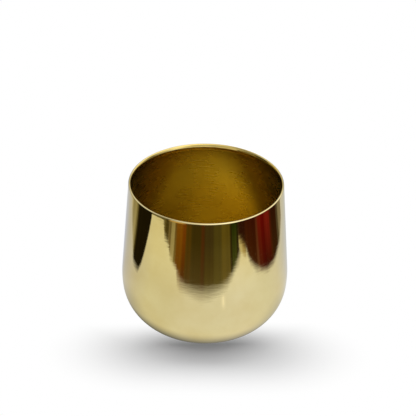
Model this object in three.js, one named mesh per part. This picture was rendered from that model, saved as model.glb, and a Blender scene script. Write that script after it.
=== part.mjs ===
// A round planter spun from one disc of brass-coloured sheet metal.
//
// A flat base runs through a round belly and a gentler shoulder into a straight wall that leans in
// towards the mouth. At the mouth the sheet is folded inwards and down on itself. The folded leaf
// bulges into the pot, which leaves a smooth, drop-shaped rolled edge to hold. Four soft bumpers are
// stuck under the base, so that the metal doesn't scratch a shelf.
//
// Units are millimetres. +Z is up, and the origin is on the axis, on the surface that it stands on.

import * as THREE from "three";

// Driving dimensions of the shell
const SHEET = 0.8; // thickness of the metal everywhere
const SHELL_HEIGHT = 140; // from the underside of the base to the top of the rolled edge
const BELLY_DIAMETER = 149.5; // outside, at the widest place
const MOUTH_DIAMETER = 134.4; // outside, over the rolled edge
const BELLY_RADIUS = 40.4; // outside radius of the arc that rises from the base
const SHOULDER_RADIUS = 92; // outside radius of the gentler arc between belly and wall
const SHOULDER_START = THREE.MathUtils.degToRad(-6.4); // of the normal, where the belly arc ends

// Driving dimensions of the hem at the mouth
const FOLD_GAP = 0.3; // inside diameter of the tight bend at the top
const HEM_HEIGHT = 5.1; // from the top down to the free edge of the folded leaf
const LEAF_LEAN = THREE.MathUtils.degToRad(30); // off upright, where the leaf leaves the bend
const LEAF_TUCK = THREE.MathUtils.degToRad(5); // past upright, back to the wall, at its edge

// Driving dimensions of the bumpers
const PAD_COUNT = 4;
const PAD_DIAMETER = 10;
const PAD_HEIGHT = 2;
const PAD_EDGE_RADIUS = 0.9; // round at the foot of each bumper
const PAD_INSET = 4; // from a bumper's side to the edge of the flat base

// Fineness of the round surfaces
const TURN_STEPS = 96; // round the axis of the shell
const BELLY_STEPS = 13;
const SHOULDER_STEPS = 2; // on each side of the widest place
const FOLD_STEPS = 4; // on each side of the fold's top
const LEAF_STEPS = 5;
const PAD_TURN_STEPS = 32;
const PAD_EDGE_STEPS = 5;

// Colours and finishes
const POLISHED_BRASS = { color: 0xd9c98f, roughness: 0.16, metalness: 1.0 };
const CLEAR_ELASTOMER = { color: 0xb9bab4, roughness: 0.45, metalness: 0.0 };

const HALF_TURN = Math.PI;
const QUARTER_TURN = Math.PI / 2;

/** The point at `angle` on a circle in the profile plane: x is the radius from the axis, y the height. */
function onCircle(centre, radius, angle) {
  return new THREE.Vector2(
    centre.x + radius * Math.cos(angle),
    centre.y + radius * Math.sin(angle),
  );
}

/** Points along an arc from one angle to another, both ends included. */
function arc(centre, radius, from, to, steps) {
  return Array.from({ length: steps + 1 }, (_, i) =>
    onCircle(centre, radius, from + ((to - from) * i) / steps),
  );
}

/** Angle of the normal of the straight line that touches both circles on their outer side. */
function outerTangentNormal(upper, upperRadius, lower, lowerRadius) {
  const between = upper.clone().sub(lower);
  return between.angle() - Math.acos((lowerRadius - upperRadius) / between.length());
}

/** Turns a closed profile about the vertical axis. */
function revolve(profile, steps) {
  return new THREE.LatheGeometry(profile, steps).rotateX(QUARTER_TURN);
}

// Places that the shell's profile is drawn from
const baseUnderside = PAD_HEIGHT;
const foldRadius = SHEET + FOLD_GAP / 2;
const foldCentre = new THREE.Vector2(
  MOUTH_DIAMETER / 2 - foldRadius,
  baseUnderside + SHELL_HEIGHT - foldRadius,
);
const centreGap = SHOULDER_RADIUS - BELLY_RADIUS;
const shoulderCentre = new THREE.Vector2(
  BELLY_DIAMETER / 2 - SHOULDER_RADIUS,
  baseUnderside + BELLY_RADIUS - centreGap * Math.sin(SHOULDER_START),
);
const bellyCentre = onCircle(shoulderCentre, centreGap, SHOULDER_START);
const baseFlatRadius = bellyCentre.x;
const wallNormal = outerTangentNormal(foldCentre, foldRadius, shoulderCentre, SHOULDER_RADIUS);

/**
 * The inner leaf of the hem bulges into the pot, and its free edge turns back towards the wall. Gives
 * the centre and radius of the face that looks into the pot, and the angles where it starts and ends.
 */
function leafArc() {
  const start = HALF_TURN - LEAF_LEAN;
  const end = HALF_TURN + LEAF_TUCK;
  const height = HEM_HEIGHT - foldRadius * (1 - Math.sin(LEAF_LEAN));
  const radius = height / (Math.sin(LEAF_LEAN) + Math.sin(LEAF_TUCK));
  return { centre: onCircle(foldCentre, foldRadius - radius, start), radius, start, end };
}

/** One face of the sheet from the base to the wall, `depth` inside the outer face. */
function bellyFace(depth) {
  const shoulder = SHOULDER_RADIUS - depth;
  return [
    ...arc(bellyCentre, BELLY_RADIUS - depth, -QUARTER_TURN, SHOULDER_START, BELLY_STEPS),
    ...arc(shoulderCentre, shoulder, SHOULDER_START, 0, SHOULDER_STEPS).slice(1),
    ...arc(shoulderCentre, shoulder, 0, wallNormal, SHOULDER_STEPS).slice(1),
  ];
}

/** The sheet's closed section: up the outside, over the fold, and back down the inside. */
function shellProfile() {
  const leaf = leafArc();
  const innerFold = foldRadius - SHEET;
  return [
    new THREE.Vector2(0, baseUnderside),
    ...bellyFace(0),
    ...arc(foldCentre, foldRadius, wallNormal, QUARTER_TURN, FOLD_STEPS),
    ...arc(foldCentre, foldRadius, QUARTER_TURN, leaf.start, FOLD_STEPS).slice(1),
    ...arc(leaf.centre, leaf.radius, leaf.start, leaf.end, LEAF_STEPS).slice(1),
    ...arc(leaf.centre, leaf.radius - SHEET, leaf.end, leaf.start, LEAF_STEPS),
    ...arc(foldCentre, innerFold, leaf.start, wallNormal, FOLD_STEPS).slice(1),
    ...bellyFace(SHEET).reverse(),
    new THREE.Vector2(0, baseUnderside + SHEET),
  ];
}

/** A bumper's section: a flat foot, a rounded lower edge, an upright side and a flat glued top. */
function padProfile() {
  const radius = PAD_DIAMETER / 2;
  const edgeCentre = new THREE.Vector2(radius - PAD_EDGE_RADIUS, PAD_EDGE_RADIUS);
  return [
    new THREE.Vector2(0, 0),
    ...arc(edgeCentre, PAD_EDGE_RADIUS, -QUARTER_TURN, 0, PAD_EDGE_STEPS),
    new THREE.Vector2(radius, PAD_HEIGHT),
    new THREE.Vector2(0, PAD_HEIGHT),
  ];
}

function shell() {
  const mesh = new THREE.Mesh(
    revolve(shellProfile(), TURN_STEPS),
    new THREE.MeshStandardMaterial(POLISHED_BRASS),
  );
  mesh.name = "planter_shell";
  return mesh;
}

/** The bumpers, evenly spaced in a ring near the edge of the flat base. */
function footPads() {
  const ring = new THREE.Group();
  const ringRadius = baseFlatRadius - PAD_INSET - PAD_DIAMETER / 2;
  const geometry = revolve(padProfile(), PAD_TURN_STEPS);
  const material = new THREE.MeshStandardMaterial(CLEAR_ELASTOMER);
  for (let i = 0; i < PAD_COUNT; i++) {
    const bearing = ((i + 0.5) / PAD_COUNT) * 2 * Math.PI;
    const pad = new THREE.Mesh(geometry, material);
    pad.name = `foot_pad_${i + 1}`;
    pad.position.set(ringRadius * Math.cos(bearing), ringRadius * Math.sin(bearing), 0);
    ring.add(pad);
  }
  return ring;
}

const planter = new THREE.Group();
planter.add(shell(), footPads());

export default planter;
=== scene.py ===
"""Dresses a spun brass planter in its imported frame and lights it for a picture.

The planter is one disc of brass sheet, spun into a flat base, a round belly, a gentle shoulder and
a wall that leans in to the mouth, where the sheet is folded inwards and down as a hem. The outside
is polished and lacquered. The inside keeps the satin that the spinning tool left. Four clear
bumpers carry it.

Everything is in metres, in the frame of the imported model: +Z up, the origin on the planter's axis
on the surface that it stands on. The camera looks from -Y.
"""

from __future__ import annotations

import logging
import math
from dataclasses import dataclass, field
from enum import Enum

import bpy
import numpy as np
from mathutils import Matrix, Vector

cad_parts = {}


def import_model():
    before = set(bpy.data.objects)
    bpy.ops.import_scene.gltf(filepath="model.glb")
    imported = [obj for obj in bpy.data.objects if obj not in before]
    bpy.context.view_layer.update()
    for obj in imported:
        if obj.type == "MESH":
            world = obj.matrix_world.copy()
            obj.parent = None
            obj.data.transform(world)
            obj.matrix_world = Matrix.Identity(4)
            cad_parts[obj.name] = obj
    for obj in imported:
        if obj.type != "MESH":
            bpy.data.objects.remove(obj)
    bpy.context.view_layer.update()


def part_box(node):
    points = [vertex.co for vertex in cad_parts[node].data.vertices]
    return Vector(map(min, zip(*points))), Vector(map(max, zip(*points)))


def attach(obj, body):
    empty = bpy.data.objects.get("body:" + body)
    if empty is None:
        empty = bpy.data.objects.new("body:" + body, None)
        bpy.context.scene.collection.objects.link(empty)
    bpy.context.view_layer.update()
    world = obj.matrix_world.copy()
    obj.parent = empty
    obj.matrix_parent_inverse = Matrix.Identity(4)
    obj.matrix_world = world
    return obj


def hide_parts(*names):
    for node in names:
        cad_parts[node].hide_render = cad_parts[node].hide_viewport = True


log = logging.getLogger("planter")

PAD_COUNT = 4
MM = 0.001
TURN = 2.0 * math.pi
TURNING_UV = "turning"  # u is the share of a full turn, v the way along the section in metres
COVER = "cover"  # how much of a reflector card's point is there, 0 to 1
CLOTH = "cloth"  # the linear colour of a reflector card's point

# Numbers of the Mix node's sockets when it mixes colours, because their names aren't unique
SHARE, FIRST, SECOND, MIXED = 0, 6, 7, 2
NOISE_SPAN = {"From Min": 0.3, "From Max": 0.7}  # where nearly all of a noise lies
MIXED_SPAN = {"From Min": 0.32, "From Max": 0.68}  # where nearly all of two mixed noises lies
ACROSS = 0.25  # of a turn from the lathe's marks, the way in which they draw a reflection out

Source = bpy.types.NodeSocket | bpy.types.Node  # what may drive a node's input


# Colour, nodes and meshes


def linear(code: str) -> tuple[float, float, float, float]:
    """Turns an sRGB hex colour into the linear values that a shader needs.

    Args:
        code: six hex digits, with or without a leading #.

    Returns:
        Red, green, blue and an alpha of 1.
    """
    text = code.lstrip("#")
    channels = (int(text[i : i + 2], 16) / 255.0 for i in (0, 2, 4))
    red, green, blue = (
        c / 12.92 if c <= 0.04045 else ((c + 0.055) / 1.055) ** 2.4 for c in channels
    )
    return red, green, blue, 1.0


def add_node(
    tree: bpy.types.NodeTree,
    kind: str,
    inputs: dict[str | int, object] | None = None,
    **settings: object,
) -> bpy.types.Node:
    """Adds a node, sets its properties and fills its inputs.

    Args:
        tree: the node tree that it goes into.
        kind: Blender's type name of the node, without the ShaderNode that it starts with.
        inputs: for a socket's name or number, a value, the output socket that drives it, or a node
            whose first output drives it.
        **settings: the node's own properties.

    Returns:
        The new node.
    """
    made = tree.nodes.new(f"ShaderNode{kind}")
    for name, value in settings.items():
        setattr(made, name, value)
    for name, value in (inputs or {}).items():
        source = value.outputs[0] if isinstance(value, bpy.types.Node) else value
        if isinstance(source, bpy.types.NodeSocket):
            tree.links.new(source, made.inputs[name])
        else:
            made.inputs[name].default_value = source
    return made


def new_material(name: str) -> tuple[bpy.types.Material, bpy.types.NodeTree]:
    """Makes a material with an empty node tree.

    Args:
        name: the material's name.

    Returns:
        The material and its node tree.
    """
    material = bpy.data.materials.new(name)
    material.use_nodes = True
    material.node_tree.nodes.clear()
    return material, material.node_tree


@dataclass(frozen=True)
class Fade:
    """A smooth change between two places, from low at its start to 1 at its end."""

    start: float
    end: float
    low: float = 0.0

    def over(self, tree: bpy.types.NodeTree, value: Source) -> bpy.types.Node:
        """Follows the fade with a value.

        Args:
            tree: the node tree that it goes into.
            value: the socket or node that says where along the fade a point lies.

        Returns:
            The node that gives the fade there.
        """
        inputs = {"Value": value, "From Min": self.start, "From Max": self.end, "To Min": self.low}
        return add_node(tree, "MapRange", inputs, interpolation_type="SMOOTHSTEP")


@dataclass(frozen=True)
class ToneScale:
    """A scale from its start to its end, with sRGB tones at some of its places."""

    tones: tuple[tuple[float, str], ...]
    start: float = 0.0
    end: float = 1.0

    def over(self, tree: bpy.types.NodeTree, value: Source) -> bpy.types.Node:
        """Reads tones off the scale with a value.

        Args:
            tree: the node tree that it goes into.
            value: the socket or node that says where along the scale a point lies.

        Returns:
            The node that gives the tone there.
        """
        span = {"Value": value, "From Min": self.start, "From Max": self.end}
        scale = add_node(tree, "ValToRGB", {0: add_node(tree, "MapRange", span)})
        places = [(place - self.start) / (self.end - self.start) for place, _ in self.tones]
        stops = scale.color_ramp.elements
        for place in places[1:-1]:
            stops.new(place)
        for stop, place, (_, code) in zip(stops, places, self.tones):
            stop.position = place
            stop.color = linear(code)
        return scale


def add_mesh(name: str, points: np.ndarray, faces: list[tuple[int, ...]]) -> bpy.types.Object:
    """Makes a smooth mesh object at the origin and links it to the scene.

    Args:
        name: name of the object and of its mesh.
        points: N by 3 array of places in metres.
        faces: the corners of each face, as numbers of points.

    Returns:
        The new object.
    """
    mesh = bpy.data.meshes.new(name)
    mesh.from_pydata(points.tolist(), [], faces)
    mesh.polygons.foreach_set("use_smooth", [True] * len(mesh.polygons))
    mesh.update()
    made = bpy.data.objects.new(name, mesh)
    bpy.context.scene.collection.objects.link(made)
    return made


# The section that is turned about the axis


class Zone(Enum):
    """How a stretch of the section was worked, which is also its material slot."""

    POLISHED = 0
    AS_SPUN = 1
    SHEARED = 2
    FOLDED = 3


@dataclass(frozen=True)
class Run:
    """A stretch of the section in one finish, as points of radius and height."""

    zone: Zone
    points: np.ndarray

    @classmethod
    def arc(
        cls, zone: Zone, centre: tuple[float, float], radius: float, start: float, end: float, step: float
    ) -> Run:
        """An arc from one angle to another, with points about a step apart.

        Args:
            zone: the finish of the stretch.
            centre: radius and height of the arc's centre.
            radius: the arc's own radius.
            start: first angle, from the outward level direction.
            end: last angle.
            step: greatest distance between two points.

        Returns:
            The stretch.
        """
        count = max(3, math.ceil(radius * abs(end - start) / step))
        angles = np.linspace(start, end, count + 1)
        ring = np.stack([np.cos(angles), np.sin(angles)], axis=1)
        return cls(zone, np.asarray(centre) + radius * ring)

    @classmethod
    def line(cls, zone: Zone, start: np.ndarray, end: np.ndarray, step: float) -> Run:
        """A straight stretch between two points, with points about a step apart.

        Args:
            zone: the finish of the stretch.
            start: first point.
            end: last point.
            step: greatest distance between two points.

        Returns:
            The stretch.
        """
        count = max(1, math.ceil(float(np.linalg.norm(end - start)) / step))
        share = np.linspace(0.0, 1.0, count + 1)[:, None]
        return cls(zone, start + (end - start) * share)

    @property
    def first(self) -> np.ndarray:
        """Where the stretch starts."""
        return self.points[0]

    @property
    def last(self) -> np.ndarray:
        """Where the stretch ends."""
        return self.points[-1]


@dataclass(frozen=True)
class Relief:
    """The unevenness that spinning and folding leave, as small moves of the surface."""

    tool_ridge: float = 0.005 * MM  # half the height of the tool's feed marks on the inside
    ridge_pitch: float = 4.2 * MM
    planish_wave: float = 0.0016 * MM  # half the height of what polishing leaves of them
    wave_pitch: float = 9.0 * MM
    pitch_shares: tuple[float, ...] = (0.62, 0.83, 1.0, 1.27, 1.71)  # of the waves that are added up
    calm_middle: float = 10.0 * MM  # over which they start round the axis
    calm_mouth: float = 6.0 * MM  # depth at the mouth without them, and over which they start below
    out_of_round: float = 0.04 * MM
    oval_turn: float = 0.7  # of the mouth's oval about the axis, in radians
    round_below: float = 60.0 * MM  # how far below the mouth the planter is round again
    edge_wander: float = 0.05 * MM  # of the folded leaf's free edge, up and down
    edge_waves: tuple[tuple[float, float, float], ...] = (  # in a turn, share of the wander, phase
        (3.0, 1.0, 0.4),
        (7.0, 0.6, 2.1),
        (13.0, 0.4, 0.0),
    )
    block_radius: float = 19.0 * MM  # of the block that held the disc against the former
    block_step: float = 0.05 * MM
    block_blur: float = 0.5 * MM
    seed: int = 11

    def waves(self, along: np.ndarray, pitch: float) -> np.ndarray:
        """A sum of sines near one pitch, so that no two waves are quite alike.

        Args:
            along: the way along the section at each point.
            pitch: distance from wave to wave.

        Returns:
            The height at each point, mostly between -1 and 1.
        """
        rng = np.random.default_rng(self.seed)
        total = np.zeros_like(along)
        for share in self.pitch_shares:
            phase = rng.uniform(0.0, TURN)
            total += np.sin(TURN * along / (pitch * share) + phase)
        return total / 3.0  # their sum seldom passes 3

    def offset(self, zone: Zone, along: np.ndarray) -> np.ndarray:
        """How far points stand proud of the section, the same all the way round.

        Args:
            zone: the finish of the points.
            along: the way along the section at each of them.

        Returns:
            The move of each point along the surface's normal.
        """
        if zone is Zone.POLISHED:
            return self.planish_wave * self.waves(along, self.wave_pitch)
        if zone is Zone.AS_SPUN:
            return self.tool_ridge * self.waves(along, self.ridge_pitch)
        return np.zeros_like(along)

    def oval(self, angle: np.ndarray) -> np.ndarray:
        """How far the mouth stands out or in at these angles round the axis."""
        return self.out_of_round * np.sin(2.0 * angle + self.oval_turn)

    def wander(self, angle: np.ndarray) -> np.ndarray:
        """How far the free edge strays up or down at these angles round the axis."""
        waves = (size * np.sin(count * angle + phase) for count, size, phase in self.edge_waves)
        return self.edge_wander * sum(waves)


# Finishes


@dataclass(frozen=True)
class Marks:
    """Marks that a lathe leaves, as noise that runs along a turned surface and closes round it."""

    width: float  # along the section
    length: float  # round the axis, on the wall
    detail: float = 1.0
    wall: float = 72.0 * MM  # the wall's distance from the axis

    def noise(self, tree: bpy.types.NodeTree) -> bpy.types.NodeSocket:
        """Draws the marks.

        Args:
            tree: the finish's node tree.

        Returns:
            The noise's socket, from 0 to 1 and mostly near a half.
        """
        parts = add_node(tree, "SeparateXYZ", {0: add_node(tree, "UVMap", uv_map=TURNING_UV)})
        angle = add_node(tree, "Math", {0: parts.outputs["X"], 1: TURN}, operation="MULTIPLY")
        ring = {
            "X": add_node(tree, "Math", {0: angle}, operation="COSINE"),
            "Y": add_node(tree, "Math", {0: angle}, operation="SINE"),
            "Z": parts.outputs["Y"],
        }
        around = self.wall / self.length
        scaled = {0: add_node(tree, "CombineXYZ", ring), 1: (around, around, 1.0 / self.width)}
        place = add_node(tree, "VectorMath", scaled, operation="MULTIPLY")
        inputs = {"Vector": place, "Scale": 1.0, "Detail": self.detail}
        return add_node(tree, "TexNoise", inputs).outputs["Fac"]


@dataclass(frozen=True)
class LacqueredBrass:
    """Brass sheet, mirror polished on the lathe and sealed with clear lacquer.

    It gives the eye a pale gold mirror. The polishing lines run round it, so that reflections keep
    clean upright edges and are drawn out up and down, with combed ends. The lacquer turns the
    grazing edges from gold to grey.
    """

    name: str = "lacquered_brass"
    tint: str = "#DCCE9C"
    deep_tint: str = "#D3C189"  # where the lacquer is thicker
    roughness: tuple[float, float] = (0.03, 0.06)
    lines: Marks = Marks(2.2 * MM, 9.0 * MM)  # real ones are finer, these as coarse as has to show
    line_depth: float = 0.013 * MM
    fine_lines: Marks = Marks(1.0 * MM, 8.0 * MM)  # between them, coarser too for the same reason
    fine_depth: float = 0.005 * MM
    clouds: Marks = Marks(30.0 * MM, 30.0 * MM, detail=3.0)  # of the uneven lacquer
    combing: float = 0.6  # how much the lines draw a reflection out, as anisotropy
    coat: float = 0.5
    coat_roughness: float = 0.03

    def build(self) -> bpy.types.Material:
        """Makes the material.

        Returns:
            The new material.
        """
        material, tree = new_material(self.name)
        shade = add_node(tree, "MapRange", {"Value": self.clouds.noise(tree), **NOISE_SPAN})
        tints = {SHARE: shade, FIRST: linear(self.tint), SECOND: linear(self.deep_tint)}
        lines = self.lines.noise(tree)
        low, high = self.roughness
        rough = {"Value": lines, **NOISE_SPAN, "To Min": low, "To Max": high}
        fine = {0: self.fine_lines.noise(tree), 1: self.fine_depth}
        rest = add_node(tree, "Math", fine, operation="MULTIPLY")
        height = add_node(tree, "Math", {0: lines, 1: self.line_depth, 2: rest}, operation="MULTIPLY_ADD")
        bump = add_node(tree, "Bump", {"Strength": 1.0, "Distance": 1.0, "Height": height})
        inputs = {
            "Base Color": add_node(tree, "Mix", tints, data_type="RGBA").outputs[MIXED],
            "Metallic": 1.0,
            "Roughness": add_node(tree, "MapRange", rough),
            "Anisotropic": self.combing,
            "Anisotropic Rotation": ACROSS,
            "Tangent": add_node(tree, "Tangent", direction_type="RADIAL", axis="Z"),
            "Normal": bump,
            "Coat Weight": self.coat,
            "Coat Roughness": self.coat_roughness,
            "Coat Normal": bump,
        }
        add_node(tree, "OutputMaterial", {"Surface": add_node(tree, "BsdfPrincipled", inputs)})
        return material


@dataclass(frozen=True)
class AsSpunBrass:
    """The inside of the sheet, burnished by the spinning tool and left as it was.

    It gives the eye a deep ochre satin: light meets brass several times before it comes out. Soft
    level streaks show where the tool went, blotches where the sheet was annealed, and a darker band
    under the hem is painted shade, where the hem would shadow the wall.
    """

    name: str = "as_spun_brass"
    tint: str = "#D0BA59"
    blotch_tint: str = "#CAB253"
    roughness: tuple[float, float] = (0.255, 0.285)
    blotches: Marks = Marks(16.0 * MM, 20.0 * MM, detail=1.5)
    streaks: Marks = Marks(2.4 * MM, 32.73 * MM, detail=0.5)  # real ones are finer, and wouldn't show
    streak_share: float = 0.3  # of the streaks in the tint, the rest being the blotches'
    streak_depth: float = 0.0003 * MM
    combing: float = 0.35  # how much the streaks draw a reflection out, as anisotropy
    mouth: float = 142.0 * MM  # the mouth's height
    hem_shade: tuple[tuple[float, str], ...] = (  # depth below the mouth, and what the painted shade under the hem does to the tint
        (5.0 * MM, "#8E8A80"),
        (6.4 * MM, "#C8C5BC"),
        (8.5 * MM, "#E6E4DE"),
        (16.0 * MM, "#FFFFFF"),
    )

    def build(self) -> bpy.types.Material:
        """Makes the material.

        Returns:
            The new material.
        """
        material, tree = new_material(self.name)
        streaks = self.streaks.noise(tree)
        blotches = {0: self.blotches.noise(tree), 1: 1.0 - self.streak_share}
        rest = add_node(tree, "Math", blotches, operation="MULTIPLY")
        both = {0: streaks, 1: self.streak_share, 2: rest}
        mixed = add_node(tree, "Math", both, operation="MULTIPLY_ADD")
        shade = add_node(tree, "MapRange", {"Value": mixed, **MIXED_SPAN})
        tints = {SHARE: shade, FIRST: linear(self.tint), SECOND: linear(self.blotch_tint)}
        clean = add_node(tree, "Mix", tints, data_type="RGBA").outputs[MIXED]
        place = add_node(tree, "TexCoord").outputs["Object"]
        height = add_node(tree, "SeparateXYZ", {0: place}).outputs["Z"]
        depth = add_node(tree, "Math", {0: self.mouth, 1: height}, operation="SUBTRACT")
        # Painted shade: the wall is darker just under the hem, where the hem would shadow it
        hem_shade = ToneScale(self.hem_shade, end=self.mouth).over(tree, depth)
        hem_shaded = {SHARE: 1.0, FIRST: clean, SECOND: hem_shade}
        low, high = self.roughness
        rough = {"Value": mixed, **MIXED_SPAN, "To Min": low, "To Max": high}
        bump = {"Strength": 1.0, "Distance": self.streak_depth, "Height": streaks}
        colour = add_node(tree, "Mix", hem_shaded, data_type="RGBA", blend_type="MULTIPLY").outputs[MIXED]
        inputs = {
            "Base Color": colour,
            "Metallic": 1.0,
            "Roughness": add_node(tree, "MapRange", rough),
            "Anisotropic": self.combing,
            "Anisotropic Rotation": ACROSS,
            "Tangent": add_node(tree, "Tangent", direction_type="RADIAL", axis="Z"),
            "Normal": add_node(tree, "Bump", bump),
        }
        add_node(tree, "OutputMaterial", {"Surface": add_node(tree, "BsdfPrincipled", inputs)})
        return material


@dataclass(frozen=True)
class ShearedBrass:
    """The sheet's cut edge, sheared before the fold.

    It gives the eye a dull, slightly darker brass line with fine burnish marks across it.
    """

    name: str = "sheared_brass"
    tint: str = "#C2A560"
    torn_tint: str = "#9C8145"
    roughness: tuple[float, float] = (0.3, 0.5)
    burnish: Marks = Marks(0.8 * MM, 1.2 * MM, detail=2.0)  # coarser than real, so that they show

    def build(self) -> bpy.types.Material:
        """Makes the material.

        Returns:
            The new material.
        """
        material, tree = new_material(self.name)
        marks = self.burnish.noise(tree)
        shade = add_node(tree, "MapRange", {"Value": marks, **NOISE_SPAN})
        tints = {SHARE: shade, FIRST: linear(self.tint), SECOND: linear(self.torn_tint)}
        low, high = self.roughness
        rough = {"Value": marks, **NOISE_SPAN, "To Min": low, "To Max": high}
        inputs = {
            "Base Color": add_node(tree, "Mix", tints, data_type="RGBA").outputs[MIXED],
            "Metallic": 1.0,
            "Roughness": add_node(tree, "MapRange", rough),
        }
        add_node(tree, "OutputMaterial", {"Surface": add_node(tree, "BsdfPrincipled", inputs)})
        return material


@dataclass(frozen=True)
class ClearElastomer:
    """Clear polyurethane elastomer, cast as a small bumper.

    It gives the eye a soft, slightly cloudy bead with a satin skin and some shelf dust on it.
    """

    name: str = "clear_elastomer"
    tint: str = "#DDDED6"
    dust_tint: str = "#B4B2A8"
    roughness: tuple[float, float] = (0.3, 0.5)
    grain: float = 0.6 * MM  # coarser than real dust, so that it shows
    grain_detail: float = 3.0
    grain_depth: float = 0.02 * MM
    grain_strength: float = 0.6
    dusty: tuple[float, float] = (0.5, 0.72)  # of the grain's noise, from clean to dusty
    clearness: float = 0.55
    bending: float = 1.49  # of light, as index of refraction

    def build(self) -> bpy.types.Material:
        """Makes the material.

        Returns:
            The new material.
        """
        material, tree = new_material(self.name)
        place = add_node(tree, "TexCoord").outputs["Object"]
        noise = {"Vector": place, "Scale": 1.0 / self.grain, "Detail": self.grain_detail}
        grain = add_node(tree, "TexNoise", noise).outputs["Fac"]
        clean, dusty = self.dusty
        dust = add_node(tree, "MapRange", {"Value": grain, "From Min": clean, "From Max": dusty})
        tints = {SHARE: dust, FIRST: linear(self.tint), SECOND: linear(self.dust_tint)}
        low, high = self.roughness
        bump = {"Strength": self.grain_strength, "Distance": self.grain_depth, "Height": grain}
        inputs = {
            "Base Color": add_node(tree, "Mix", tints, data_type="RGBA").outputs[MIXED],
            "Roughness": add_node(tree, "MapRange", {"Value": grain, "To Min": low, "To Max": high}),
            "IOR": self.bending,
            "Transmission Weight": self.clearness,
            "Normal": add_node(tree, "Bump", bump),
        }
        add_node(tree, "OutputMaterial", {"Surface": add_node(tree, "BsdfPrincipled", inputs)})
        return material


# Sub-assemblies


def turned_points(radius: np.ndarray, height: np.ndarray, ends: np.ndarray) -> np.ndarray:
    """The points of a closed section that is turned about the axis, from the front round by +X.

    Args:
        radius: how far each ring is from the axis, a row for a ring and a column for a step round it.
        height: how high each ring is, in the same way.
        ends: heights of the section's two points on the axis.

    Returns:
        The points, with the two on the axis first and last and the rings between them.
    """
    angle = np.arange(radius.shape[1]) * TURN / radius.shape[1]
    rings = np.stack([radius * np.sin(angle), -radius * np.cos(angle), height], axis=2)
    first, last = ([[0.0, 0.0, end]] for end in ends)
    return np.concatenate([first, rings.reshape(-1, 3), last])


def turned_faces(rings: int, steps: int) -> list[tuple[int, ...]]:
    """The faces of a closed section that is turned about the axis.

    Args:
        rings: how many rings of points there are off the axis.
        steps: points in each ring.

    Returns:
        The corners of each face, as numbers of points in the order that turned_points gives.
    """
    last = 1 + rings * steps
    start = last - steps
    faces: list[tuple[int, ...]] = [(0, 1 + (j + 1) % steps, 1 + j) for j in range(steps)]
    for low in range(1, start, steps):
        high = low + steps
        for j in range(steps):
            k = (j + 1) % steps
            faces.append((low + j, low + k, high + k, high + j))
    faces += [(start + j, start + (j + 1) % steps, last) for j in range(steps)]
    return faces


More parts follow.
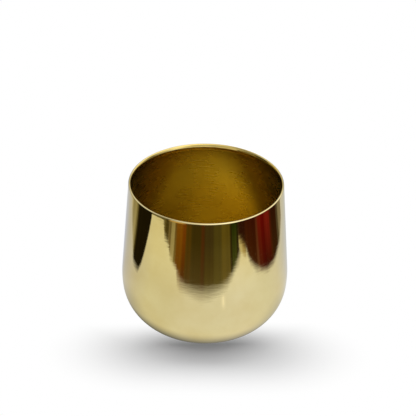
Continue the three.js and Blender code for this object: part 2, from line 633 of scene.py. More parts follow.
@dataclass
class PlanterShell:
    """The spun sheet: base, belly, wall and the hem folded at the mouth.

    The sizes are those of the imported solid, and the mesh is finer, with the marks of its making.
    """

    sheet: float = 0.8 * MM
    height: float = 140.0 * MM
    belly_radius: float = 74.75 * MM  # outside, at the widest place
    mouth_radius: float = 67.2 * MM  # outside, over the rolled edge
    belly_arc: float = 40.4 * MM
    shoulder_arc: float = 92.0 * MM  # of the gentler arc between belly and wall
    shoulder_start: float = -6.4  # degrees of the normal, where the belly's arc ends
    fold_gap: float = 0.3 * MM  # inside diameter of the tight bend at the top
    hem_height: float = 5.1 * MM  # from the top down to the folded leaf's free edge
    leaf_lean: float = 30.0  # degrees off upright, where the leaf leaves the bend
    leaf_tuck: float = 5.0  # degrees past upright, back to the wall, at its free edge
    stand: float = 2.0 * MM  # height of the base above the surface
    edge_round: float = 0.15 * MM  # at the corners of the cut edge
    base_step: float = 1.6 * MM  # from point to point of the section, along the base
    arc_step: float = 1.1 * MM  # along the belly, the shoulder and the wall
    bend_step: float = 0.2 * MM  # over the tight bend
    turn_steps: int = 240
    relief: Relief = field(default_factory=Relief)

    @property
    def top(self) -> float:
        """Height of the rolled edge."""
        return self.stand + self.height

    @property
    def bend(self) -> float:
        """Outside radius of the tight bend."""
        return self.sheet + self.fold_gap / 2.0

    @property
    def leaf_radius(self) -> float:
        """Radius of the folded leaf's face into the pot, which fills the hem's height."""
        lean, tuck = math.sin(math.radians(self.leaf_lean)), math.sin(math.radians(self.leaf_tuck))
        return (self.hem_height - self.bend + self.bend * lean) / (lean + tuck)

    def section(self) -> list[Run]:
        """The closed section, from the axis up the outside, over the fold and back down inside.

        Returns:
            Its stretches in that order, each starting where the one before ends.
        """
        bend = self.bend
        bend_centre = np.array([self.mouth_radius - bend, self.top - bend])
        belly_centre, shoulder_centre = self.centres()
        reach, rise = bend_centre - shoulder_centre
        lean = math.atan2(rise, reach) - math.acos((self.shoulder_arc - bend) / math.hypot(rise, reach))
        quarter = math.pi / 2.0
        turn = math.radians(self.shoulder_start)
        leaf_start = math.pi - math.radians(self.leaf_lean)
        leaf_end = math.pi + math.radians(self.leaf_tuck)

        base_start, base_end = np.array([[0.0, self.stand], [belly_centre[0], self.stand]])
        base = Run.line(Zone.POLISHED, base_start, base_end, self.base_step)
        belly = Run.arc(Zone.POLISHED, belly_centre, self.belly_arc, -quarter, turn, self.arc_step)
        below = Run.arc(Zone.POLISHED, shoulder_centre, self.shoulder_arc, turn, 0.0, self.arc_step)
        above = Run.arc(Zone.POLISHED, shoulder_centre, self.shoulder_arc, 0.0, lean, self.arc_step)
        over = Run.arc(Zone.POLISHED, bend_centre, bend, lean, quarter, self.bend_step)
        wall = Run.line(Zone.POLISHED, above.last, over.first, self.arc_step)

        into = Run.arc(Zone.FOLDED, bend_centre, bend, quarter, leaf_start, self.bend_step)
        leaf_way = np.array([math.cos(leaf_start), math.sin(leaf_start)])
        leaf_centre = bend_centre - (self.leaf_radius - bend) * leaf_way
        leaf_step = 2.0 * self.bend_step
        leaf = Run.arc(Zone.FOLDED, leaf_centre, self.leaf_radius, leaf_start, leaf_end, leaf_step)
        leaf_back = self.leaf_radius - self.sheet
        back = Run.arc(Zone.AS_SPUN, leaf_centre, leaf_back, leaf_end, leaf_start, leaf_step)
        edge = self.cut_edge(leaf, back)
        gap, gap_step = self.fold_gap / 2.0, self.bend_step / 2.0
        under = Run.arc(Zone.AS_SPUN, bend_centre, gap, leaf_start, lean, gap_step)

        inner_arc, inner_shoulder = self.belly_arc - self.sheet, self.shoulder_arc - self.sheet
        inner_above = Run.arc(Zone.AS_SPUN, shoulder_centre, inner_shoulder, lean, turn, self.arc_step)
        inner_wall = Run.line(Zone.AS_SPUN, under.last, inner_above.first, self.arc_step)
        inner_belly = Run.arc(Zone.AS_SPUN, belly_centre, inner_arc, turn, -quarter, self.arc_step)
        floor_end = np.array([0.0, self.stand + self.sheet])
        inner_base = Run.line(Zone.AS_SPUN, inner_belly.last, floor_end, self.base_step)
        outside = [base, belly, below, above, wall]
        hem = [over, into, leaf, edge, back, under]
        return [*outside, *hem, inner_wall, inner_above, inner_belly, inner_base]

    def centres(self) -> tuple[np.ndarray, np.ndarray]:
        """Finds the centres of the belly's arc and of the shoulder's.

        Returns:
            Radius and height of the two, the belly's first.
        """
        apart = self.shoulder_arc - self.belly_arc
        turn = math.radians(self.shoulder_start)
        height = self.stand + self.belly_arc - apart * math.sin(turn)
        shoulder = np.array([self.belly_radius - self.shoulder_arc, height])
        return shoulder + apart * np.array([math.cos(turn), math.sin(turn)]), shoulder

    def cut_edge(self, leaf: Run, back: Run) -> Run:
        """The sheared edge between the leaf's two faces, with its corners eased.

        Args:
            leaf: the face that looks into the pot, which ends at the edge.
            back: the face behind it, which starts there.

        Returns:
            The edge's stretch.
        """
        across = back.first - leaf.last
        across = across / np.linalg.norm(across)
        down = np.array([across[1], -across[0]])
        down = down if down[1] < 0.0 else -down
        small = self.edge_round
        corner = 1.0 - math.sqrt(0.5)  # how far a round corner's middle is from its square one
        points = [
            leaf.last,
            leaf.last + across * small * corner + down * small * (1.0 - corner),
            leaf.last + across * small + down * small,
            back.first - across * small + down * small,
            back.first - across * small * corner + down * small * (1.0 - corner),
            back.first,
        ]
        return Run(Zone.SHEARED, np.array(points))

    def build(self, finishes: dict[Zone, bpy.types.Material]) -> bpy.types.Object:
        """Turns the section about the axis, presses its marks in and dresses it.

        Args:
            finishes: the material of each zone.

        Returns:
            The shell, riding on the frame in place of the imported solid.
        """
        points, zones, along = self.joined()
        faces = turned_faces(len(points) - 2, self.turn_steps)
        shell = add_mesh("spun_shell", self.turned(points), faces)
        self.write_turning(shell.data, along)
        for zone in Zone:
            shell.data.materials.append(finishes[zone])
        per_face = np.repeat(zones, self.turn_steps).astype(np.int32)
        shell.data.polygons.foreach_set("material_index", per_face)
        shell.data.update()
        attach(shell, "root")
        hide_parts("planter_shell")
        return shell

    def joined(self) -> tuple[np.ndarray, np.ndarray, np.ndarray]:
        """The section as one line of points, with its relief.

        Returns:
            The points, the zone of each stretch between two of them, and the way along at each.
        """
        runs = self.section()
        line = np.concatenate([runs[0].points[:1]] + [run.points[1:] for run in runs])
        zones = np.concatenate([np.full(len(run.points) - 1, run.zone.value) for run in runs])
        steps = np.linalg.norm(np.diff(line, axis=0), axis=1)
        along = np.concatenate([[0.0], np.cumsum(steps)])
        tangent = np.gradient(line, along, axis=0)
        tangent /= np.linalg.norm(tangent, axis=1)[:, None]
        normal = np.stack([tangent[:, 1], -tangent[:, 0]], axis=1)
        relief = self.relief
        zone_before = np.concatenate([zones[:1], zones])
        push = np.zeros(len(line))
        for zone in Zone:
            push = np.where(zone_before == zone.value, relief.offset(zone, along), push)
        calm = np.clip(np.minimum(along, along[-1] - along) / relief.calm_middle, 0.0, 1.0)
        mouth = self.top - relief.calm_mouth
        calm = calm * np.clip((mouth - line[:, 1]) / relief.calm_mouth, 0.0, 1.0)
        line = line + normal * (push * calm)[:, None]
        return self.block_mark(line), zones, along

    def block_mark(self, line: np.ndarray) -> np.ndarray:
        """Presses the ring that the holding block leaves round the middle of the base.

        Args:
            line: the section's points.

        Returns:
            The points with the two faces of the base moved.
        """
        relief = self.relief
        on_base = line[:, 1] < self.stand + self.sheet + 2.0 * relief.block_step
        inside = 1.0 / (1.0 + np.exp((line[:, 0] - relief.block_radius) / relief.block_blur))
        moved = line.copy()
        moved[:, 1] += np.where(on_base, relief.block_step * inside, 0.0)
        return moved

    def turned(self, line: np.ndarray) -> np.ndarray:
        """Turns the line of points about the axis, a little out of round towards the mouth.

        Args:
            line: points of radius and height, the first and last on the axis.

        Returns:
            The mesh's points, with the two on the axis first and last.
        """
        relief = self.relief
        inner = line[1:-1]
        angle = np.arange(self.turn_steps) * TURN / self.turn_steps
        up = (inner[:, 1:] - (self.top - relief.round_below)) / relief.round_below
        radius = inner[:, :1] + np.clip(up, 0.0, 1.0) * relief.oval(angle)
        height = inner[:, 1:] + self.leaf_share(inner)[:, None] * relief.wander(angle)
        return turned_points(radius, height, line[[0, -1], 1])

    def leaf_share(self, line: np.ndarray) -> np.ndarray:
        """How far down the folded leaf points lie.

        Args:
            line: the section's points.

        Returns:
            For each point, 0 off the leaf and at its top, up to 1 at its free edge.
        """
        below = self.top - self.hem_height - self.sheet
        on_leaf = (line[:, 0] < self.mouth_radius - self.bend) & (line[:, 1] > below)
        depth = (self.top - self.bend - line[:, 1]) / (self.hem_height - self.bend)
        return np.where(on_leaf, np.clip(depth, 0.0, 1.0), 0.0)

    def write_turning(self, mesh: bpy.types.Mesh, along: np.ndarray) -> None:
        """Writes the turning coordinates, which the marks of the finishes follow.

        Args:
            mesh: the shell's mesh.
            along: the way along the section at each of its points.
        """
        steps = self.turn_steps
        layer = mesh.uv_layers.new(name=TURNING_UV)
        vertex = np.zeros(len(mesh.loops), dtype=np.int32)
        mesh.loops.foreach_get("vertex_index", vertex)
        column = (vertex - 1) % steps
        row = np.where(vertex == 0, 0, (vertex - 1) // steps + 1)
        corners = np.zeros(len(mesh.polygons), dtype=np.int32)
        mesh.polygons.foreach_get("loop_total", corners)
        face_column = np.repeat(np.arange(len(corners)), corners) % steps
        closing = (face_column == steps - 1) & (column == 0)
        on_axis = (vertex == 0) | (vertex == len(mesh.vertices) - 1)
        u = np.where(closing, steps, column) / steps
        u = np.where(on_axis, (face_column + 0.5) / steps, u)
        uv = np.stack([u, along[row]], axis=1).astype(np.float32)
        layer.data.foreach_set("uv", uv.ravel())


@dataclass
class FootPad:
    """A cast bumper, stuck under the base with a disc of clear adhesive."""

    node: str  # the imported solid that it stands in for
    radius: float = 5.0 * MM
    adhesive: float = 0.15 * MM
    adhesive_inset: float = 0.3 * MM
    edge_round: float = 0.9 * MM
    brim_round: float = 0.1 * MM
    draft: float = 0.12 * MM  # how much narrower the mould makes the pad at its glued top
    dimple: float = 0.12 * MM  # the casting's shrinkage in the middle of its foot
    dimple_width: float = 0.7  # of the flat of its foot
    arc_points: int = 9
    turn_steps: int = 64

    def section(self, height: float) -> np.ndarray:
        """Draws the pad's section.

        Args:
            height: from the foot to the base of the shell.

        Returns:
            Points of radius and height, from the middle of the foot to the middle of the adhesive.
        """
        top = height - self.adhesive
        brim = self.radius - self.draft
        glue = brim - self.adhesive_inset
        flat = self.radius - self.edge_round
        foot = np.linspace(0.0, flat, self.arc_points)[:-1]
        hollow = self.dimple * np.cos(np.clip(foot / (flat * self.dimple_width), 0.0, 1.0) * math.pi / 2.0)
        turn = np.linspace(-math.pi / 2.0, 0.0, self.arc_points)
        ring = np.stack([np.cos(turn), np.sin(turn)], axis=1)
        edge = np.array([flat, self.edge_round]) + self.edge_round * ring
        upper = [[brim, top - self.brim_round], [brim - self.brim_round, top]]
        upper += [[glue, top], [glue, height], [0.0, height]]
        return np.concatenate([np.stack([foot, hollow], axis=1), edge, upper])

    def build(self, finish: bpy.types.Material) -> bpy.types.Object:
        """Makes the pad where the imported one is.

        Args:
            finish: the pad's material.

        Returns:
            The pad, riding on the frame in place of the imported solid.
        """
        low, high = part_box(self.node)
        line = self.section(high.z - low.z)
        radius = np.repeat(line[1:-1, :1], self.turn_steps, axis=1)
        height = np.repeat(line[1:-1, 1:], self.turn_steps, axis=1)
        middle = (low + high) / 2.0
        points = turned_points(radius, height, line[[0, -1], 1]) + (middle.x, middle.y, low.z)
        pad = add_mesh(f"bumper_{self.node[-1]}", points, turned_faces(*radius.shape))
        pad.data.materials.append(finish)
        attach(pad, "root")
        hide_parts(self.node)
        return pad


# The studio


@dataclass(frozen=True)
class Camera:
    """The camera that a fit to the photograph's outline gives, in the frame's metres and degrees."""

    distance: float = 0.8116  # in front of the planter's axis
    height: float = 0.6343
    pitch: float = 32.624  # downwards
    yaw: float = 0.1331  # towards +X
    roll: float = 1.0692
    focal_pixels: float = 1100.0
    image_pixels: float = 416.0
    sensor: float = 36.0

    def build(self) -> bpy.types.Object:
        """Makes the camera and hands it to the scene.

        Returns:
            The camera.
        """
        pitch, yaw, roll = (math.radians(a) for a in (self.pitch, self.yaw, self.roll))
        ahead = Vector(
            (math.sin(yaw) * math.cos(pitch), math.cos(yaw) * math.cos(pitch), -math.sin(pitch))
        )
        right = ahead.cross(Vector((0.0, 0.0, 1.0))).normalized()
        up = right.cross(ahead)
        tilted = math.cos(roll) * right + math.sin(roll) * up
        upper = -math.sin(roll) * right + math.cos(roll) * up
        data = bpy.data.cameras.new("camera")
        data.sensor_width = self.sensor
        data.lens = self.focal_pixels / self.image_pixels * self.sensor
        camera = bpy.data.objects.new("camera", data)
        turn = Matrix((tilted, upper, -ahead)).transposed().to_4x4()
        camera.matrix_world = Matrix.Translation((0.0, -self.distance, self.height)) @ turn
        bpy.context.scene.collection.objects.link(camera)
        bpy.context.scene.camera = camera
        return camera


@dataclass(frozen=True)
class Floor:
    """A tabletop of matt white paper that takes the shadow near the planter.

    It turns plain white further out, which gives the eye a picture without a horizon. Mirrors see it
    evenly lit, with painted shade towards its sides and back and painted warm light near the brass.
    """

    half_width: float = 4.0
    tint: str = "#FAFAFA"
    footing: Fade = Fade(0.038, 0.056)  # shadow all round, from full to none
    shadow_middle: tuple[float, float] = (0.003, -0.060)  # of the long shadow in front
    shadow_line: float = 0.044  # half the length of its darkest line, left to right
    shadow_stretch: float = 1.83  # how much further it fades sideways than in depth
    shadow_fade: Fade = Fade(0.004, 0.058)  # in depth, from full to none
    shadow_back: Fade = Fade(-0.058, -0.014)  # towards the back, from full to none
    shadow_tilt: float = 0.037  # how much further back it ends at the right, as a slope
    glow: Fade = Fade(0.057, 0.082)  # light under the belly, from full to none
    glow_lift: float = 0.14
    contact: Fade = Fade(0.044, 0.085, low=0.21)  # the shadow that the metal mirrors, all round
    contact_shift: tuple[float, float] = (0.006, 0.002)  # towards -X and -Y
    beside: Fade = Fade(0.040, 0.150, low=0.5)  # its further reach at the sides
    beside_squeeze: float = 2.0  # how much less of that reach it has in depth
    far_lift: float = 1.08  # how much brighter mirrors see the table far off
    far_range: tuple[float, float] = (0.200, 0.280)  # where that starts and is reached
    mirror_tones: tuple[tuple[float, str], ...] = (  # bearing, and the table's painted shade there
        (-180.0, "#CFCFD1"),
        (-135.0, "#CACDDA"),
        (-118.0, "#CFCDCA"),
        (-100.0, "#DFDCD5"),
        (-85.0, "#E7E4D5"),
        (-65.0, "#F1EFDA"),
        (-40.0, "#F3F2E3"),
        (-20.0, "#F9F9F4"),
        (15.0, "#FCFEFE"),
        (38.0, "#FEFFFF"),
        (55.0, "#FAFAF3"),
        (75.0, "#F6F6EB"),
        (95.0, "#F2F0E4"),
        (122.0, "#D8D8D8"),
        (140.0, "#CCCDCC"),
        (180.0, "#CFCFD1"),
    )
    mirror_warmth: tuple[tuple[float, str], ...] = (  # distance from the axis, and the tint there, painted warm light from the brass close by
        (0.060, "#FFFAEA"),
        (0.095, "#FFFEFA"),
        (0.130, "#FFFFFF"),
        (0.200, "#FFFFFF"),
        (0.280, "#FFFDF2"),
    )

    def build(self) -> bpy.types.Object:
        """Makes the floor.

        Returns:
            The floor, staged round the planter.
        """
        size = self.half_width
        corners = np.array([[-size, -size, 0], [size, -size, 0], [size, size, 0], [-size, size, 0]])
        floor = add_mesh("studio_floor", corners.astype(float), [(0, 1, 2, 3)])
        material, tree = new_material("studio_paper")
        place = add_node(tree, "TexCoord").outputs["Object"]
        rays = SeenBy(tree)
        paper = {SHARE: rays.stray, FIRST: linear(self.tint), SECOND: linear("#000000")}
        colour = add_node(tree, "Mix", paper, data_type="RGBA").outputs[MIXED]
        lit = add_node(tree, "BsdfDiffuse", {"Color": colour})
        tones = {SHARE: 1.0, FIRST: self.mirror_tone(tree, place), SECOND: self.warmth(tree, place)}
        tone = add_node(tree, "Mix", tones, data_type="RGBA", blend_type="MULTIPLY").outputs[MIXED]
        seen = {SHARE: rays.mirror, FIRST: linear("#FFFFFF"), SECOND: tone}
        table = add_node(tree, "Mix", seen, data_type="RGBA").outputs[MIXED]
        dimmed = {"Value": rays.mirror, "To Min": 1.0, "To Max": self.mirror_shade(tree, place)}
        strength = add_node(tree, "MapRange", dimmed)
        white = add_node(tree, "Emission", {"Color": table, "Strength": strength})
        unlit = {0: self.beyond_shadow(tree, place), 1: rays.mirror}
        plain = {0: add_node(tree, "Math", unlit, operation="MAXIMUM"), 1: rays.direct}
        share = add_node(tree, "Math", plain, operation="MULTIPLY")
        mixed = add_node(tree, "MixShader", {0: share, 1: lit, 2: white})
        add_node(tree, "OutputMaterial", {"Surface": mixed})
        floor.data.materials.append(material)
        return floor

    def beyond_shadow(self, tree: bpy.types.NodeTree, place: bpy.types.NodeSocket) -> bpy.types.Node:
        """How plainly white the floor is, from 0 in the shadow's darkest part up to 1.

        Args:
            tree: the floor's node tree.
            place: a point on the floor, about the planter's axis.

        Returns:
            The node that gives the share.
        """
        none = (0.0, 0.0, 0.0)
        steps = (
            ("SUBTRACT", (*self.shadow_middle, 0.0)),
            ("ABSOLUTE", none),
            ("SUBTRACT", (self.shadow_line, 0.0, 0.0)),
            ("MAXIMUM", none),
            ("DIVIDE", (self.shadow_stretch, 1.0, 1.0)),
        )
        way: Source = place
        for operation, amount in steps:
            way = add_node(tree, "VectorMath", {0: way, 1: amount}, operation=operation)
        parts = add_node(tree, "SeparateXYZ", {0: place})
        tilted = {0: parts.outputs["X"], 1: -self.shadow_tilt, 2: parts.outputs["Y"]}
        back = add_node(tree, "Math", tilted, operation="MULTIPLY_ADD")
        far = self.length(tree, place)
        glow = {0: self.glow.over(tree, far), 1: -self.glow_lift, 2: self.glow_lift}
        share = self.shadow_fade.over(tree, self.length(tree, way))
        for operation, other in (
            ("MAXIMUM", self.shadow_back.over(tree, back)),
            ("MINIMUM", self.footing.over(tree, far)),
            ("MAXIMUM", add_node(tree, "Math", glow, operation="MULTIPLY_ADD")),
        ):
            share = add_node(tree, "Math", {0: share, 1: other}, operation=operation)
        return share

    def mirror_shade(self, tree: bpy.types.NodeTree, place: bpy.types.NodeSocket) -> bpy.types.Node:
        """How much light the metal's mirror image of the floor has, darker near the planter.

        Args:
            tree: the floor's node tree.
            place: a point on the floor, about the planter's axis.

        Returns:
            The node that gives the strength.
        """
        shift = {0: place, 1: (*self.contact_shift, 0.0)}
        moved = add_node(tree, "VectorMath", shift, operation="ADD")
        squeeze = {0: moved, 1: (1.0, self.beside_squeeze, 1.0)}
        squeezed = add_node(tree, "VectorMath", squeeze, operation="MULTIPLY")
        start, end = self.far_range
        lift = {"Value": self.length(tree, place), "From Min": start, "From Max": end}
        shade = add_node(tree, "MapRange", lift | {"To Min": 1.0, "To Max": self.far_lift})
        for fade, way in ((self.contact, moved), (self.beside, squeezed)):
            near = fade.over(tree, self.length(tree, way))
            shade = add_node(tree, "Math", {0: shade, 1: near}, operation="MULTIPLY")
        return shade

    def mirror_tone(self, tree: bpy.types.NodeTree, place: bpy.types.NodeSocket) -> bpy.types.Node:
        """The painted shade of the table in a mirror, by the bearing about the planter's axis.

        Args:
            tree: the floor's node tree.
            place: a point on the floor, about the planter's axis.

        Returns:
            The node that gives the tone.
        """
        parts = add_node(tree, "SeparateXYZ", {0: place})
        ahead = add_node(tree, "Math", {0: parts.outputs["Y"], 1: -1.0}, operation="MULTIPLY")
        angle = add_node(tree, "Math", {0: parts.outputs["X"], 1: ahead}, operation="ARCTAN2")
        bearing = add_node(tree, "Math", {0: angle}, operation="DEGREES")
        # Painted shade: the table is darker in mirrors towards its sides and back
        return ToneScale(self.mirror_tones, start=-180.0, end=180.0).over(tree, bearing)

    def warmth(self, tree: bpy.types.NodeTree, place: bpy.types.NodeSocket) -> bpy.types.Node:
        """The table's tint in a mirror, by the distance from the axis: painted warm light that the brass
        throws on it close by.
        """
        return ToneScale(self.mirror_warmth).over(tree, self.length(tree, place))

    @staticmethod
    def length(tree: bpy.types.NodeTree, way: Source) -> bpy.types.NodeSocket:
        """The length of a way over the floor."""
        return add_node(tree, "VectorMath", {0: way}, operation="LENGTH").outputs["Value"]


class SeenBy:
    """Which rays see a stage material, as values that are 1 for such a ray and 0 for any other.

    Attributes:
        stray: rays that the metal throws on the floor, which would tint the shadow.
        mirror: rays that a mirror or clear material sends on to the eye.
        direct: those, and the camera's own rays.
    """

    def __init__(self, tree: bpy.types.NodeTree) -> None:
        """Reads the light path.

        Args:
            tree: the node tree of the stage material or the world.
        """
        path = add_node(tree, "LightPath").outputs
        sent = {0: path["Is Glossy Ray"], 1: path["Is Transmission Ray"]}
        sent_on = add_node(tree, "Math", sent, operation="MAXIMUM")
        scattered = add_node(tree, "Math", {0: path["Diffuse Depth"], 1: 0.5}, operation="GREATER_THAN")
        self.stray = add_node(tree, "Math", {0: sent_on, 1: scattered}, operation="MULTIPLY")
        self.mirror = add_node(tree, "Math", {0: sent_on, 1: self.stray}, operation="SUBTRACT")
        either = {0: path["Is Camera Ray"], 1: self.mirror}
        self.direct = add_node(tree, "Math", either, operation="MAXIMUM")


@dataclass(frozen=True)
class RoomLight:
    """A soft bright patch of the room, which only mirrors see."""

    bearing: float  # degrees about the planter's axis, 0 at the front and 90 at +X
    height: float  # degrees over the horizon
    strength: float
    reach: float = 38.0  # degrees from its middle to where it has faded out

    def patch(self, tree: bpy.types.NodeTree, towards: bpy.types.NodeSocket) -> bpy.types.Node:
        """Draws the patch.

        Args:
            tree: the world's node tree.
            towards: the direction that a ray looks in.

        Returns:
            The node that gives 1 in the patch's middle and 0 beyond its reach.
        """
        bearing, height = math.radians(self.bearing), math.radians(self.height)
        level = math.cos(height)
        middle = (math.sin(bearing) * level, -math.cos(bearing) * level, math.sin(height))
        facing = {0: towards, 1: middle}
        cosine = add_node(tree, "VectorMath", facing, operation="DOT_PRODUCT").outputs["Value"]
        return Fade(math.cos(math.radians(self.reach)), 1.0).over(tree, cosine)


@dataclass(frozen=True)
class Surroundings:
    """White for the eye, a soft fill for shadows, and for mirrors a dim room with soft lights.

    The hem mirrors the room from the horizon up to overhead, so the places of the lights are what
    makes it bright here and dark there.
    """

    fill: float = 0.416
    room: float = 0.04  # brightness of the room between its lights
    horizon: float = 0.25  # how much brighter it is near the horizon
    horizon_fade: Fade = Fade(0.22, 0.04)  # sine of the height, from none to full
    lights: tuple[RoomLight, ...] = (
        RoomLight(0.0, 85.0, 0.28),
        RoomLight(0.0, 60.0, 1.32),
        RoomLight(60.0, 60.0, 0.92),
        RoomLight(120.0, 60.0, 0.24),
        RoomLight(180.0, 60.0, 0.70),
        RoomLight(25.0, 8.0, 0.75),
        RoomLight(335.0, 8.0, 0.60),
        RoomLight(60.0, 32.0, 0.92),
        RoomLight(120.0, 32.0, 1.26),
        RoomLight(180.0, 32.0, 0.62),
        RoomLight(240.0, 32.0, 0.72),
        RoomLight(300.0, 32.0, 0.36),
    )

    def build(self) -> None:
        """Sets up the world."""
        world = bpy.data.worlds.new("surroundings")
        bpy.context.scene.world = world
        world.use_nodes = True
        tree = world.node_tree
        tree.nodes.clear()
        rays = SeenBy(tree)
        towards = add_node(tree, "TexCoord").outputs["Generated"]
        height = add_node(tree, "SeparateXYZ", {0: towards}).outputs["Z"]
        glow = {0: self.horizon_fade.over(tree, height), 1: self.horizon, 2: self.room}
        room = add_node(tree, "Math", glow, operation="MULTIPLY_ADD")
        for light in self.lights:
            patch = {0: light.patch(tree, towards), 1: light.strength, 2: room}
            room = add_node(tree, "Math", patch, operation="MULTIPLY_ADD")
        unlit = {0: rays.stray, 1: -self.fill, 2: self.fill}
        dim = add_node(tree, "Math", unlit, operation="MULTIPLY_ADD")
        seen = {"Value": rays.mirror, "To Min": 1.0, "To Max": room}
        inputs = {"Value": rays.direct, "To Min": dim, "To Max": add_node(tree, "MapRange", seen)}
        white = {"Color": linear("#FFFFFF"), "Strength": add_node(tree, "MapRange", inputs)}
        add_node(tree, "OutputWorld", {"Surface": add_node(tree, "Background", white)})


@dataclass(frozen=True)
class Softbox:
    """A large round lamp overhead, which gives the floor its soft shadow under the belly."""

    height: float = 1.5
    width: float = 2.7
    radiance: float = 1.16

    def build(self) -> bpy.types.Object:
        """Makes the lamp.

        Returns:
            The lamp.
        """
        data = bpy.data.lights.new("softbox", "AREA")
        data.shape = "DISK"
        data.size = self.width
        area = math.pi * (self.width / 2.0) ** 2
        data.energy = self.radiance * math.pi * area  # what an even lamp of that radiance sends out
        lamp = bpy.data.objects.new("softbox", data)
        lamp.location = (0.0, 0.0, self.height)
        lamp.visible_glossy = False
        bpy.context.scene.collection.objects.link(lamp)
        return lamp


@dataclass(frozen=True)
class Strip:
    """A strip of a card's cloth: the bearing at which it starts, and its tones near by and far off."""

    start: float
    near: str
    far: str


@dataclass(frozen=True)
class ReflectorCard:
    """A cloth card that only mirrors see, so that the polished wall has something to show.

    It lies on the table from its near edge back, and its far end turns up. Bearings are in degrees
    about the planter's axis, 0 at the front and 90 at +X.
    """

    name: str
    near: tuple[tuple[float, float, float], ...]  # bearing, where the card starts, its soft edge's depth
    strips: tuple[Strip, ...]
    fold: float = 5.0  # degrees between the cloth's upright folds
    # The folds' contrast is painted shade and light on the cloth, which no lamp lights
    fold_contrast: float = 0.10
    fold_detail: float = 3.0
    fold_span: tuple[float, float] = (0.35, 0.65)  # of the folds' noise, from dark to light
    soft_sides: float = 1.2  # degrees
    soft_lead: float = 0.6  # of the soft edge's depth, by which it begins before the card's start
    soft_cover: float = 0.35  # how much of the cloth is there at the card's start
    blend: float = 0.6  # degrees to each side, over which two strips meet
    column: float = 0.5  # degrees between two bearings that have points
    far: float = 3.0  # where it ends
    rise: float = 0.02  # how high its far end stands
    strength: float = 1.0
    depth: float = 0.12  # over which the cloth's tone changes from its near edge back
    lift: float = 1.0 * MM  # over the table

    def near_at(self, bearing: float) -> tuple[float, float]:
        """Where the card starts on this bearing, and how deep its soft edge is."""
        bearings, starts, depths = zip(*self.near)
        return float(np.interp(bearing, bearings, starts)), float(np.interp(bearing, bearings, depths))

    def tone_at(self, bearing: float, far: bool) -> np.ndarray:
        """The cloth's colour on a bearing, blended a little where two strips meet.

        Args:
            bearing: the bearing about the planter's axis.
            far: whether the tone is that of the far end.

        Returns:
            The linear colour.
        """
        starts = [strip.start for strip in self.strips]
        tones = np.array([linear(strip.far if far else strip.near) for strip in self.strips])
        around = [bearing - self.blend, bearing, bearing + self.blend]
        picked = np.searchsorted(starts, around, "right") - 1
        return tones[np.clip(picked, 0, len(starts) - 1)].mean(axis=0)

    def build(self) -> bpy.types.Object:
        """Makes the card.

        Returns:
            The card, staged round the planter.
        """
        first, last = self.near[0][0], self.near[-1][0]
        count = math.ceil((last - first) / self.column)
        points: list[list[float]] = []
        cover: list[float] = []
        tone: list[np.ndarray] = []
        uv: list[tuple[float, float]] = []
        for bearing in np.linspace(first, last, count + 1).tolist():
            near, soft = self.near_at(bearing)
            side = min(max(min(bearing - first, last - bearing) / self.soft_sides, 0.0), 1.0)
            back = min(near + self.depth, 0.5 * (near + soft + self.far))
            # Distance, height and how much of the cloth is there, from the soft edge to the far top
            rows = [(near - self.soft_lead * soft, 0.0, 0.0), (near, 0.0, self.soft_cover)]
            rows += [(near + soft, 0.0, 1.0), (back, 0.0, 1.0)]
            rows += [(self.far, 0.0, 1.0), (self.far, self.rise, 1.0)]
            angle = math.radians(bearing)
            for reach, height, there in rows:
                points.append([reach * math.sin(angle), -reach * math.cos(angle), height + self.lift])
                cover.append(there * side)
                tone.append(self.tone_at(bearing, reach >= back))
                uv.append((bearing / self.fold, reach + height))
        each = len(points) // (count + 1)  # points on one bearing
        starts = [i * each + r for i in range(count) for r in range(each - 1)]
        faces = [(start, start + each, start + each + 1, start + 1) for start in starts]
        card = add_mesh(f"card_{self.name}", np.array(points), faces)
        covers = card.data.attributes.new(COVER, "FLOAT", "POINT")
        covers.data.foreach_set("value", cover)
        tones = card.data.attributes.new(CLOTH, "FLOAT_COLOR", "POINT")
        tones.data.foreach_set("color", np.array(tone, dtype=np.float32).ravel())
        layer = card.data.uv_layers.new(name=TURNING_UV)
        for loop in card.data.loops:
            layer.data[loop.index].uv = uv[loop.vertex_index]
        card.data.materials.append(self.material())
        card.visible_camera = False
        card.visible_diffuse = False
        card.visible_shadow = False
        card.visible_volume_scatter = False
        return card

    def material(self) -> bpy.types.Material:
        """Makes the cloth with painted shade and light on its upright folds, fading out at the card's soft
        edges.

        Returns:
            The card's own material.
        """
        material, tree = new_material(f"card_{self.name}")
        across = add_node(tree, "SeparateXYZ", {0: add_node(tree, "UVMap", uv_map=TURNING_UV)})
        noise = {"W": across.outputs["X"], "Scale": 1.0, "Detail": self.fold_detail}
        folds = add_node(tree, "TexNoise", noise, noise_dimensions="1D").outputs["Fac"]
        dark, light = self.fold_span
        span = {"Value": folds, "From Min": dark, "From Max": light}
        span["To Min"] = self.strength * (1.0 - self.fold_contrast)
        span["To Max"] = self.strength * (1.0 + self.fold_contrast)
        colour = add_node(tree, "Attribute", attribute_name=CLOTH).outputs["Color"]
        there = add_node(tree, "Attribute", attribute_name=COVER).outputs["Fac"]
        cloth = add_node(tree, "Emission", {"Color": colour, "Strength": add_node(tree, "MapRange", span)})
        mixed = add_node(tree, "MixShader", {0: there, 1: add_node(tree, "BsdfTransparent"), 2: cloth})
        add_node(tree, "OutputMaterial", {"Surface": mixed})
        return material


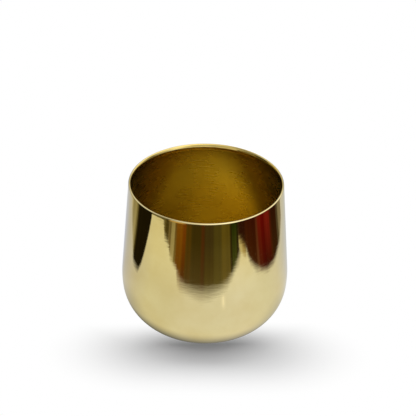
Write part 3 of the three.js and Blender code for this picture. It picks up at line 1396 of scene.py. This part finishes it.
def reflector_cards() -> list[ReflectorCard]:
    """Lists the cards round the table.

    They are of muted cloth at the front, the sides and the back, the two at the left being tall, and
    two small ones are bright: a glint on the belly and a warm glow on the wall.

    Returns:
        The cards. Where two meet, the one that lies higher is seen.
    """
    front_edge = (
        (-48.0, 0.312, 0.010),
        (-46.0, 0.300, 0.010),
        (-43.0, 0.275, 0.012),
        (-38.0, 0.265, 0.008),
        (-34.5, 0.259, 0.010),
        (-31.5, 0.233, 0.024),
        (-28.0, 0.223, 0.024),
        (-22.0, 0.219, 0.020),
        (-13.0, 0.214, 0.022),
        (-4.0, 0.210, 0.026),
        (5.0, 0.211, 0.025),
        (14.0, 0.217, 0.020),
        (20.0, 0.222, 0.019),
        (26.0, 0.228, 0.018),
        (32.0, 0.244, 0.015),
        (38.0, 0.262, 0.016),
        (41.0, 0.272, 0.024),
        (46.0, 0.300, 0.022),
    )
    front_cloth = (
        Strip(-48.0, "#807048", "#6C6036"),
        Strip(-43.6, "#B8AC80", "#A89C6C"),
        Strip(-38.6, "#84723C", "#6C5020"),
        Strip(-36.4, "#784E14", "#88560C"),
        Strip(-28.5, "#603A10", "#7C4408"),
        Strip(-24.2, "#5C4620", "#584210"),
        Strip(-17.5, "#584A28", "#443812"),
        Strip(-4.9, "#5C4628", "#583414"),
        Strip(-0.9, "#5C5028", "#463A1C"),
        Strip(10.5, "#6A6034", "#564C20"),
        Strip(20.4, "#726636", "#665820"),
        Strip(31.0, "#362E16", "#2C240C"),
        Strip(33.4, "#484E22", "#2A340A"),
        Strip(39.2, "#383014", "#20200A"),
    )
    right_edge = (
        (41.0, 0.326, 0.012),
        (47.0, 0.309, 0.012),
        (50.0, 0.296, 0.018),
        (53.5, 0.268, 0.018),
        (56.0, 0.251, 0.016),
        (59.0, 0.241, 0.014),
        (62.0, 0.230, 0.016),
        (65.0, 0.222, 0.016),
        (68.0, 0.218, 0.013),
        (71.0, 0.212, 0.011),
        (80.0, 0.200, 0.011),
        (92.0, 0.196, 0.010),
        (98.0, 0.198, 0.010),
        (107.0, 0.206, 0.012),
        (113.0, 0.212, 0.012),
        (123.0, 0.250, 0.014),
    )
    right_cloth = (
        Strip(41.0, "#34180C", "#32140A"),
        Strip(51.0, "#4A260E", "#42180A"),
        Strip(67.0, "#643E28", "#60301E"),
        Strip(70.0, "#5A2414", "#7C2014"),
        Strip(75.5, "#48140C", "#6A0E08"),
        Strip(81.6, "#461A0C", "#84221A"),
        Strip(91.5, "#4A260E", "#561E0E"),
        Strip(95.0, "#3C240E", "#381A0C"),
        Strip(107.0, "#5C523C", "#4E4230"),
        Strip(111.6, "#948A70", "#8C8264"),
    )
    gap_edge = (
        (41.5, 0.306, 0.010),
        (44.0, 0.290, 0.008),
        (47.0, 0.279, 0.006),
        (50.0, 0.272, 0.008),
        (52.0, 0.270, 0.008),
    )
    gap_cloth = (
        Strip(41.5, "#E2D8AC", "#CCBC88"),
        Strip(47.0, "#CABA86", "#A48E5E"),
    )
    corner_edge = (
        (-80.0, 0.356, 0.006),
        (-57.0, 0.358, 0.010),
        (-55.0, 0.348, 0.014),
        (-53.0, 0.318, 0.014),
        (-46.0, 0.302, 0.010),
    )
    corner_cloth = (Strip(-80.0, "#6E6438", "#6E6438"), Strip(-51.6, "#564A20", "#463C16"))
    left_edge = (
        (-126.0, 0.320, 0.016),
        (-122.0, 0.290, 0.016),
        (-116.0, 0.258, 0.016),
        (-110.0, 0.232, 0.016),
        (-104.0, 0.208, 0.014),
        (-101.0, 0.194, 0.012),
        (-98.0, 0.186, 0.010),
        (-90.0, 0.183, 0.010),
        (-86.5, 0.185, 0.010),
        (-83.0, 0.206, 0.012),
        (-80.0, 0.240, 0.014),
        (-77.0, 0.284, 0.014),
        (-74.0, 0.338, 0.014),
    )
    left_cloth = (
        Strip(-126.0, "#D6CEAA", "#C0B68C"),
        Strip(-118.0, "#AEA47C", "#A09668"),
        Strip(-104.6, "#988E66", "#7A7044"),
        Strip(-101.8, "#544A26", "#3A3012"),
        Strip(-99.4, "#201A0A", "#201A08"),
    )
    far_left = ((-168.0, 0.52, 0.03), (-142.0, 0.52, 0.03))
    far_right = ((148.0, 0.56, 0.03), (171.0, 0.56, 0.03))
    glow_edge = ((-50.0, 0.370, 0.014), (-24.0, 0.380, 0.014))
    glint_edge = ((17.6, 0.184, 0.008), (23.4, 0.184, 0.008))
    return [
        ReflectorCard("front", front_edge, front_cloth, far=0.68),
        ReflectorCard("gap", gap_edge, gap_cloth, depth=0.03, lift=1.5 * MM),
        ReflectorCard("right", right_edge, right_cloth, lift=2.0 * MM),
        ReflectorCard("corner", corner_edge, corner_cloth, rise=0.7, lift=0.5 * MM),
        ReflectorCard("left", left_edge, left_cloth, rise=0.8),
        ReflectorCard("back_left", far_left, (Strip(-168.0, "#3C3014", "#3C3014"),)),
        ReflectorCard("back_right", far_right, (Strip(148.0, "#33290F", "#33290F"),)),
        ReflectorCard(
            "glint",
            glint_edge,
            (Strip(17.6, "#FFFFFF", "#FFFFFF"),),
            fold_contrast=0.0,
            soft_sides=2.8,
            far=0.200,
            rise=0.004,
            strength=1.28,
        ),
        ReflectorCard(
            "glow", glow_edge, (Strip(-50.0, "#D8B468", "#D8B468"),), soft_sides=6.0, lift=3.0 * MM
        ),
    ]


def main() -> None:
    """Builds the planter and its studio, in order."""
    logging.basicConfig(level=logging.INFO, format="%(name)s: %(message)s")
    bpy.context.scene.view_settings.view_transform = "Standard"
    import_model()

    camera = Camera().build()
    log.info("camera at %s", [round(v, 3) for v in camera.location])

    # The folded leaf is polished by hand: a deeper gold that mirrors more softly, with less lacquer
    fold = LacqueredBrass(
        "lacquered_brass_fold", tint="#DCC67C", deep_tint="#D4B968", roughness=(0.10, 0.14), coat=0.2
    )
    finishes = {
        Zone.POLISHED: LacqueredBrass().build(),
        Zone.AS_SPUN: AsSpunBrass().build(),
        Zone.SHEARED: ShearedBrass().build(),
        Zone.FOLDED: fold.build(),
    }
    shell = PlanterShell().build(finishes)
    log.info("%s: %d faces", shell.name, len(shell.data.polygons))

    elastomer = ClearElastomer().build()
    for number in range(1, PAD_COUNT + 1):
        pad = FootPad(f"foot_pad_{number}").build(elastomer)
        log.info("%s: %d faces", pad.name, len(pad.data.polygons))

    Surroundings().build()
    Floor().build()
    Softbox().build()
    for card in reflector_cards():
        made = card.build()
        log.info("%s: %d faces", made.name, len(made.data.polygons))


if __name__ == "__main__":
    main()
